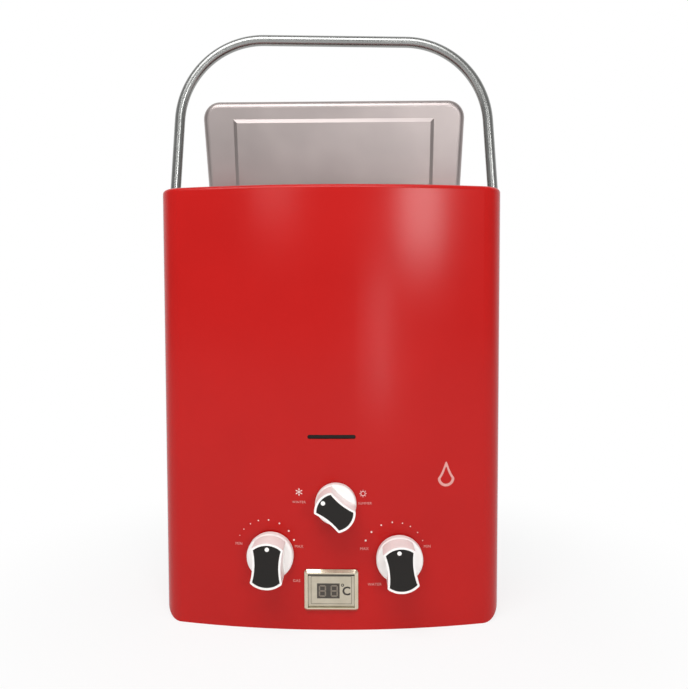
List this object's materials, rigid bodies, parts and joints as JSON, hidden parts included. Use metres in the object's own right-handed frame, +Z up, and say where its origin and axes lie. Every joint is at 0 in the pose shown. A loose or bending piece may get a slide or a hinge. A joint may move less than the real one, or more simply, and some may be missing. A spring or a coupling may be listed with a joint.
{
  "type": "portable gas water heater",
  "caption": "Compact instantaneous water heater with an enamelled cover, hinged rain hood, folding carry handle, control knobs and its burner, heat exchanger and valves inside.",
  "frame": {"origin": "centre of the bounding box's base, on the plane that the heater stands on", "axes": "+Z up along the height, +X to the right of someone facing the knobs, +Y from the knobs to the back plate"},
  "size_m": [0.3158, 0.1564, 0.5293],
  "materials": {
    "red_enamel": "gloss red enamel on sheet steel",
    "zinc_sheet": "bare zinc plated sheet",
    "satin_steel": "satin stainless sheet",
    "chrome_rod": "polished plated rod",
    "plated_fasteners": "bright zinc",
    "white_plastic": "glossy white moulding",
    "black_inlay": "matte black plate",
    "grey_plastic": "moulded dark grey",
    "bezel_metal": "bright warm plating",
    "lens": "tinted printed window",
    "mica": "mica sheet",
    "circuit_board": "green board",
    "brass": "turned and forged brass",
    "copper": "drawn copper",
    "cast_valve": "die cast aluminium",
    "black_rubber": "nitrile rubber",
    "ceramic": "glazed ceramic with a steel tip",
    "cell_jacket": "plain printed sleeve",
    "cable_jacket": "silicone jacket"
  },
  "bodies": {
    "housing": {"front_cover": "red_enamel", "cover_screws": "plated_fasteners", "back_plate": "zinc_sheet", "bottom_pan": "zinc_sheet", "exhaust_grille": "satin_steel", "flame_window": "mica", "display_bezel": "bezel_metal", "display_lens": "lens", "display_housing": "grey_plastic", "display_board": "circuit_board", "hinge_leaves": "satin_steel", "hinge_pins": "plated_fasteners", "handle_bushes": "grey_plastic", "handle_bolts": "plated_fasteners", "handle_brackets": "zinc_sheet", "water_valve_body": "brass", "diaphragm": "black_rubber", "diaphragm_cover": "brass", "valve_screws": "plated_fasteners", "microswitch": "grey_plastic", "gas_valve_body": "cast_valve", "solenoid_valve": "zinc_sheet", "water_inlet_fitting": "brass", "gas_inlet_fitting": "brass", "hot_outlet_fitting": "brass", "drain_plug": "brass", "valve_bracket": "zinc_sheet", "season_valve_body": "cast_valve", "gas_manifold": "cast_valve", "gas_nozzles": "brass", "burner_bars": "satin_steel", "burner_frame": "zinc_sheet", "combustion_chamber": "copper", "fin_block": "copper", "flue_collector": "satin_steel", "coil_pipe": "copper", "cold_pipe": "copper", "hot_pipe": "copper", "union_nuts": "brass", "gas_riser": "copper", "igniter_box": "grey_plastic", "flame_electrodes": "ceramic", "battery_box": "grey_plastic", "batteries": "cell_jacket", "ignition_leads": "cable_jacket"},
    "handle": {"carry_handle": "chrome_rod"},
    "hood": {"rain_hood": "satin_steel", "hood_leaves": "satin_steel"},
    "gas_control": {"gas_knob": "white_plastic", "gas_inlay": "black_inlay", "gas_spindle": "brass"},
    "water_control": {"water_knob": "white_plastic", "water_inlay": "black_inlay", "water_spindle": "brass"},
    "season_control": {"season_knob": "white_plastic", "season_inlay": "black_inlay", "season_spindle": "brass"},
    "water_rod": {"push_rod": "brass"},
    "plunger": {"switch_plunger": "white_plastic"},
    "lid": {"battery_lid": "grey_plastic"}
  },
  "joints": [
    {"name": "handle_hinge", "type": "hinge", "parent": "housing", "child": "handle", "pos_m": [0, 0.05025, 0.322], "axis": [1, 0, 0], "range_deg": [-150, 125]},
    {"name": "hood_hinge", "type": "hinge", "parent": "housing", "child": "hood", "pos_m": [0, 0.07225, 0.376], "axis": [1, 0, 0], "range_deg": [0, 79]},
    {"name": "gas_turn", "type": "hinge", "parent": "housing", "child": "gas_control", "pos_m": [-0.05, -0.05275, 0.0641], "axis": [0, 1, 0], "range_deg": [-67, 63]},
    {"name": "water_turn", "type": "hinge", "parent": "housing", "child": "water_control", "pos_m": [0.057, -0.05275, 0.0614], "axis": [0, 1, 0], "range_deg": [-58, 75]},
    {"name": "season_turn", "type": "hinge", "parent": "housing", "child": "season_control", "pos_m": [0.0044, -0.05275, 0.1079], "axis": [0, 1, 0], "range_deg": [0, 103]},
    {"name": "rod_slide", "type": "slide", "parent": "housing", "child": "water_rod", "axis": [1, 0, 0], "range_m": [-0.003, 0], "stiffness_N_per_m": 800},
    {"name": "plunger_slide", "type": "slide", "parent": "housing", "child": "plunger", "axis": [1, 0, 0], "range_m": [-0.003, 0]},
    {"name": "lid_hinge", "type": "hinge", "parent": "housing", "child": "lid", "pos_m": [0.113, 0.05625, 0.0039], "axis": [1, 0, 0], "range_deg": [0, 100]}
  ],
  "couplings": [
    {"joint": "plunger_slide", "follows": "rod_slide", "ratio": 1}
  ]
}
